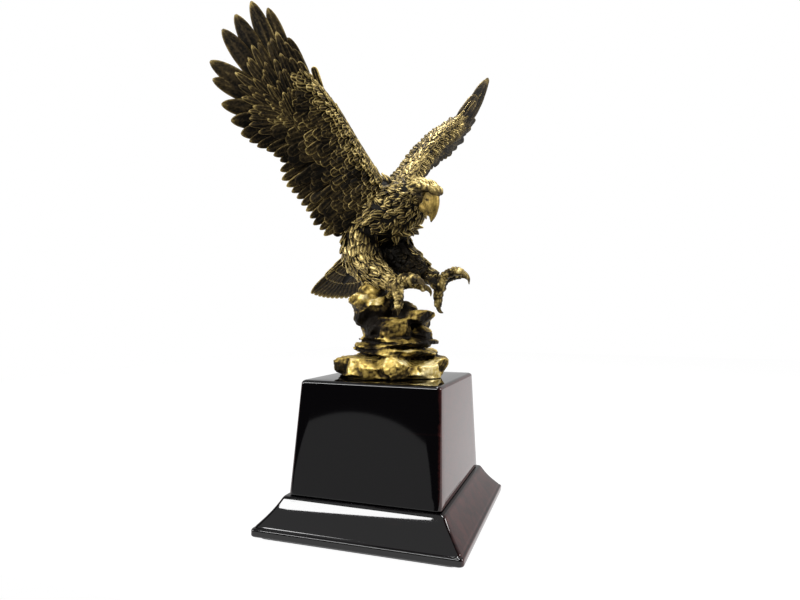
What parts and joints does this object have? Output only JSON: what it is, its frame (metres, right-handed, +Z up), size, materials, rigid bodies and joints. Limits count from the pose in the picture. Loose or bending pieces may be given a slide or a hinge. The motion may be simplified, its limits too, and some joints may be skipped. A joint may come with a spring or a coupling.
{
  "type": "eagle statuette",
  "caption": "Cast bronze-finish eagle with raised wings and spread talons on a rock, standing on a lacquered plinth.",
  "frame": {"origin": "centre of the felt underside, on the surface the statuette stands on", "axes": "+Z up through the plinth, -Y towards the plinth's front, +X to the right seen from the front"},
  "size_m": [0.1473, 0.1805, 0.3102],
  "materials": {
    "felt": "dense black baize",
    "lacquer": "high-gloss dark rosewood piano lacquer",
    "steel": "zinc-plated steel",
    "brass": "plain turned brass",
    "bronze": "dark antique bronze patina, rubbed to old gold on the raised edges",
    "bronze_rock": "antique bronze patina, rubbed to bright old gold"
  },
  "bodies": {
    "root": {"felt_pad": "felt", "base_board": "lacquer", "plinth_block": "lacquer", "board_screw_1": "steel", "board_screw_2": "steel", "board_screw_3": "steel", "board_screw_4": "steel", "fixing_washer": "steel", "fixing_bolt": "steel", "threaded_insert": "brass", "rock": "bronze_rock", "body": "bronze", "wing_right": "bronze", "wing_left": "bronze", "tail": "bronze", "foot_right": "bronze", "foot_left": "bronze", "wing_pin_right_front": "steel", "wing_pin_right_rear": "steel", "wing_pin_left_front": "steel", "wing_pin_left_rear": "steel", "tail_pin": "steel", "ankle_pin_right": "steel", "ankle_pin_left": "steel", "seat_pin_1": "steel", "seat_pin_2": "steel"}
  },
  "joints": []
}
